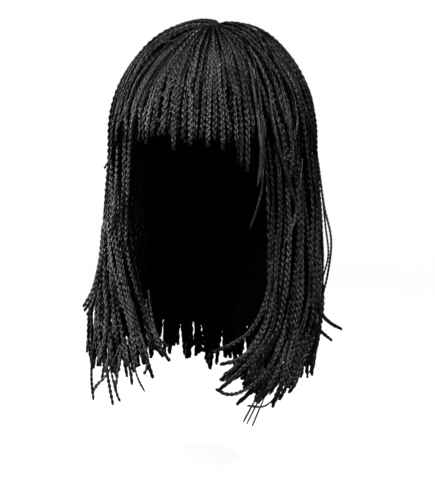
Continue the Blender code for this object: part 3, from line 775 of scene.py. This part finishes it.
def build_cap(material):
    """The cap: a thin fabric shell with a turned hem, open below."""
    angles = np.linspace(-180, 180, CAP_COLUMNS, endpoint=False)
    angle, share = np.meshgrid(angles, np.linspace(0, 1, CAP_ROWS + 1), indexing="ij")
    outer, inner = cap_points(CAP_OUTER, angle, share), cap_points(HEAD, angle, share)
    through = unit(outer - inner)
    outer[:, -1 - HEM_ROWS :] += through[:, -1 - HEM_ROWS :] * HEM_RISE
    corners = np.concatenate([outer, inner[:, ::-1]], axis=1)
    rings = corners.shape[1]
    index = np.arange(CAP_COLUMNS * rings).reshape(CAP_COLUMNS, rings)
    beyond = np.roll(index, -1, axis=0)
    faces = np.stack([index[:, :-1], index[:, 1:], beyond[:, 1:], beyond[:, :-1]], -1)
    mesh = bpy.data.meshes.new("mesh_cap")
    mesh.from_pydata(corners.reshape(-1, 3), [], faces.reshape(-1, 4).tolist())
    shares = np.concatenate([share, share[:, ::-1]], axis=1)
    turns = np.repeat(angle[:, :1] / 360, rings, axis=1)
    near = np.stack([turns, shares], -1)
    far = near + np.array([1 / CAP_COLUMNS, 0])
    coords = np.stack([near[:, :-1], near[:, 1:], far[:, 1:], far[:, :-1]], 2).astype(np.float32)
    mesh.uv_layers.new(name="UVMap").data.foreach_set("uv", coords.ravel())
    shape = bmesh.new()
    shape.from_mesh(mesh)
    bmesh.ops.remove_doubles(shape, verts=shape.verts, dist=WELD_DISTANCE)
    bmesh.ops.recalc_face_normals(shape, faces=shape.faces)
    shape.to_mesh(mesh)
    shape.free()
    mesh.shade_smooth()
    mesh.set_sharp_from_angle(angle=math.radians(HEM_CREASE))
    mesh.materials.append(material)
    piece = linked("mesh_cap", mesh)
    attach(piece, "root")
    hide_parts("cap")


def new_material(name):
    """A material, with its nodes, links and shader."""
    material = bpy.data.materials.new(name)
    material.use_nodes = True
    tree = material.node_tree
    return material, tree.nodes, tree.links, tree.nodes["Principled BSDF"]


def add_colour(nodes, links, shader, factor, dark, pale):
    """The shader's colour, between a dark and a pale one."""
    mix = nodes.new("ShaderNodeMix")
    mix.data_type = "RGBA"
    mix.inputs["A"].default_value = dark
    mix.inputs["B"].default_value = pale
    links.new(factor, mix.inputs["Factor"])
    links.new(mix.outputs["Result"], shader.inputs["Base Color"])


def add_bump(nodes, links, shader, height, bump):
    """A fine relief on the shader."""
    relief = nodes.new("ShaderNodeBump")
    relief.inputs["Strength"].default_value = bump.strength
    relief.inputs["Distance"].default_value = bump.distance
    links.new(height, relief.inputs["Height"])
    links.new(relief.outputs["Normal"], shader.inputs["Normal"])


def hair_material():
    """Black synthetic fibre: satin, with streaks along each strand, small changes of tone, and painted
    shade off the strands' crests and where they pass under each other.
    """
    material, nodes, links, shader = new_material("braided_hair")
    # The tone attribute holds each braid's own tone times the painted shade of its strands; it sets the
    # gloss and the colour
    tone = nodes.new("ShaderNodeAttribute")
    tone.attribute_name = "tone"
    gloss_with_painted_shade = nodes.new("ShaderNodeMapRange")
    gloss_with_painted_shade.inputs["To Min"].default_value = DULL_HAIR
    gloss_with_painted_shade.inputs["To Max"].default_value = GLOSSY_HAIR
    links.new(tone.outputs["Fac"], gloss_with_painted_shade.inputs["Value"])
    links.new(gloss_with_painted_shade.outputs["Result"], shader.inputs["Specular IOR Level"])
    # The painted shade in the tone darkens the base colour, as it dims the gloss above
    add_colour(nodes, links, shader, tone.outputs["Fac"], DARK_HAIR, PALE_HAIR)
    coords = nodes.new("ShaderNodeUVMap")
    coords.uv_map = "UVMap"
    stretch = nodes.new("ShaderNodeMapping")
    stretch.inputs["Scale"].default_value = FIBRE_SCALE
    fibres = nodes.new("ShaderNodeTexNoise")
    fibres.inputs["Scale"].default_value = 1.0
    fibres.inputs["Detail"].default_value = FIBRE_DETAIL
    links.new(coords.outputs["UV"], stretch.inputs["Vector"])
    links.new(stretch.outputs["Vector"], fibres.inputs["Vector"])
    gloss = nodes.new("ShaderNodeMapRange")
    least, most = HAIR_ROUGHNESS
    gloss.inputs["To Min"].default_value = least
    gloss.inputs["To Max"].default_value = most
    links.new(fibres.outputs["Fac"], gloss.inputs["Value"])
    links.new(gloss.outputs["Result"], shader.inputs["Roughness"])
    add_bump(nodes, links, shader, fibres.outputs["Fac"], HAIR_BUMP)
    return material


def cap_material():
    """Matt black stretch mesh, with fine holes."""
    material, nodes, links, shader = new_material("cap_fabric")
    shader.inputs["Roughness"].default_value = CAP_ROUGHNESS
    coords = nodes.new("ShaderNodeTexCoord")
    cells = nodes.new("ShaderNodeTexVoronoi")
    cells.inputs["Scale"].default_value = CAP_HOLES_SCALE
    links.new(coords.outputs["Object"], cells.inputs["Vector"])
    add_colour(nodes, links, shader, cells.outputs["Distance"], CAP_DARK, CAP_PALE)
    add_bump(nodes, links, shader, cells.outputs["Distance"], CAP_BUMP)
    return material


def placed(piece, node):
    """The piece rides on the wig's only body, in place of a solid where one is named."""
    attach(piece, "root")
    if node:
        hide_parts(node)


def dress_sides(material):
    """The braids on both sides and at the back, a piece for each sector of solids."""
    width = (180 - SIDE_START_ANGLE) / SIDE_SECTORS
    for name, side, seeds in (("left", 1, LEFT_SEEDS), ("right", -1, RIGHT_SEEDS)):
        for number in range(SIDE_SECTORS):
            start, seed = side * (SIDE_START_ANGLE + width * number), seeds + number
            strands = sector_braids(side_path, SIDE_LAYERS, start, side * width, number, side, seed)
            piece = strands.made(f"plaits_{name}_{number + 1}", material)
            placed(piece, f"braids_{name}_{number + 1}")


def dress_fringe(material):
    """The fringe's braids, a piece for each sector of solids."""
    width = 2 * FRINGE_HALF_ANGLE / FRINGE_SECTORS
    for number in range(FRINGE_SECTORS):
        start, seed = -FRINGE_HALF_ANGLE + width * number, FRINGE_SEEDS + number
        strands = sector_braids(fringe_path, FRINGE_LAYERS, start, width, number, 1, seed)
        rng = np.random.default_rng((SEED, HAND_SEEDS + number))
        for braid in FRINGE_BRAIDS:
            if start <= braid.angle < start + width:
                fringe_braid(strands, rng, braid)
        placed(strands.made(f"fringe_plaits_{number + 1}", material), f"fringe_{number + 1}")


# The camera, in the photograph's place, and the framing it needs
CAMERA_AZIMUTH = math.radians(16)
CAMERA_DISTANCE = 1.78
CAMERA_Z = 0.081
AIM_Z = -0.206
AIM_ACROSS = 0.0058
LENS_MM, SENSOR_MM = 136, 36

# The floor and the room
FLOOR_Z = -0.45
FLOOR_RADIUS, FLOOR_SIDES, FLOOR_FADE = 1.6, 64, (0.3, 1.5)
FLOOR_GREY, FLOOR_ROUGHNESS, FLOOR_GLOW = (0.4, 0.4, 0.4, 1), 0.95, 0.7
ROOM_LIGHT, ROOM_COLOUR, WHITE = 0.05, (0.9, 0.95, 1.0, 1), (1, 1, 1, 1)

# The soft boxes: where they stand, how wide and high they are, and their power in watts
SoftBox = namedtuple("SoftBox", "name place size power")
SOFT_BOXES = [
    SoftBox("key", (-0.6, -1.5, 1.0), (0.2, 0.7), 21),
    SoftBox("left", (-1.5, 0.1, 0.3), (0.15, 1.2), 14),
    SoftBox("front left", (-1.3, -0.8, 0.1), (0.15, 0.8), 17),
    SoftBox("right", (1.3, -0.9, 0.3), (0.15, 1.0), 14),
    SoftBox("high right", (1.1, -0.9, 1.2), (0.2, 0.4), 26),
    SoftBox("top", (0.2, -0.2, 1.5), (0.25, 0.25), 8),
]
SOFT_BOX_AIM = (0, 0, -0.15)


def add_camera():
    """The camera, aimed at the wig's middle."""
    data = bpy.data.cameras.new("camera")
    data.lens = LENS_MM
    data.sensor_fit = "VERTICAL"
    data.sensor_height = SENSOR_MM
    camera = linked("camera", data)
    turn = CAMERA_AZIMUTH
    camera.location = (math.sin(turn) * CAMERA_DISTANCE, -math.cos(turn) * CAMERA_DISTANCE, CAMERA_Z)
    aim = Vector((math.cos(turn) * AIM_ACROSS, math.sin(turn) * AIM_ACROSS, AIM_Z))
    camera.rotation_euler = (aim - camera.location).to_track_quat("-Z", "Y").to_euler()
    bpy.context.scene.camera = camera


def add_soft_box(box):
    """One soft box, turned towards the wig."""
    data = bpy.data.lights.new(box.name, "AREA")
    data.shape = "RECTANGLE"
    data.size, data.size_y = box.size
    data.energy = box.power
    light = linked(box.name, data)
    light.location = box.place
    light.rotation_euler = (Vector(SOFT_BOX_AIM) - light.location).to_track_quat("-Z", "Y").to_euler()


def add_lights():
    """A dim room that the camera sees as white, and the soft boxes."""
    world = bpy.data.worlds.new("studio")
    world.use_nodes = True
    nodes, links = world.node_tree.nodes, world.node_tree.links
    room, seen = nodes["Background"], nodes.new("ShaderNodeBackground")
    room.inputs["Color"].default_value = ROOM_COLOUR
    room.inputs["Strength"].default_value = ROOM_LIGHT
    seen.inputs["Color"].default_value = WHITE
    rays, mix = nodes.new("ShaderNodeLightPath"), nodes.new("ShaderNodeMixShader")
    links.new(rays.outputs["Is Camera Ray"], mix.inputs["Fac"])
    links.new(room.outputs["Background"], mix.inputs[1])
    links.new(seen.outputs["Background"], mix.inputs[2])
    links.new(mix.outputs["Shader"], nodes["World Output"].inputs["Surface"])
    bpy.context.scene.world = world
    for box in SOFT_BOXES:
        add_soft_box(box)


def add_floor():
    """A pale round floor that fades out into the white room."""
    material, nodes, links, shader = new_material("floor")
    shader.inputs["Base Color"].default_value = FLOOR_GREY
    shader.inputs["Roughness"].default_value = FLOOR_ROUGHNESS
    shader.inputs["Emission Color"].default_value = WHITE
    shader.inputs["Emission Strength"].default_value = FLOOR_GLOW
    coords, fade = nodes.new("ShaderNodeTexCoord"), nodes.new("ShaderNodeMapRange")
    far = nodes.new("ShaderNodeVectorMath")
    far.operation = "LENGTH"
    fade_start, fade_end = FLOOR_FADE
    fade.inputs["From Min"].default_value = fade_start
    fade.inputs["From Max"].default_value = fade_end
    links.new(coords.outputs["Object"], far.inputs[0])
    links.new(far.outputs["Value"], fade.inputs["Value"])
    clear, mix = nodes.new("ShaderNodeBsdfTransparent"), nodes.new("ShaderNodeMixShader")
    links.new(fade.outputs["Result"], mix.inputs["Fac"])
    links.new(shader.outputs["BSDF"], mix.inputs[1])
    links.new(clear.outputs["BSDF"], mix.inputs[2])
    links.new(mix.outputs["Shader"], nodes["Material Output"].inputs["Surface"])
    mesh = bpy.data.meshes.new("floor")
    turns = np.arange(FLOOR_SIDES) * 2 * math.pi / FLOOR_SIDES
    rim = [(FLOOR_RADIUS * math.cos(turn), FLOOR_RADIUS * math.sin(turn), 0) for turn in turns]
    mesh.from_pydata(rim, [], [list(range(len(rim)))])
    mesh.materials.append(material)
    floor = linked("floor", mesh)
    floor.location.z = FLOOR_Z
    floor.visible_diffuse = floor.visible_glossy = False


add_camera()
add_lights()
add_floor()
bpy.context.scene.view_settings.view_transform = "Standard"
hair = hair_material()
dress_sides(hair)
dress_fringe(hair)
placed(loose_braids().made("loose_braids", hair), None)
build_cap(cap_material())
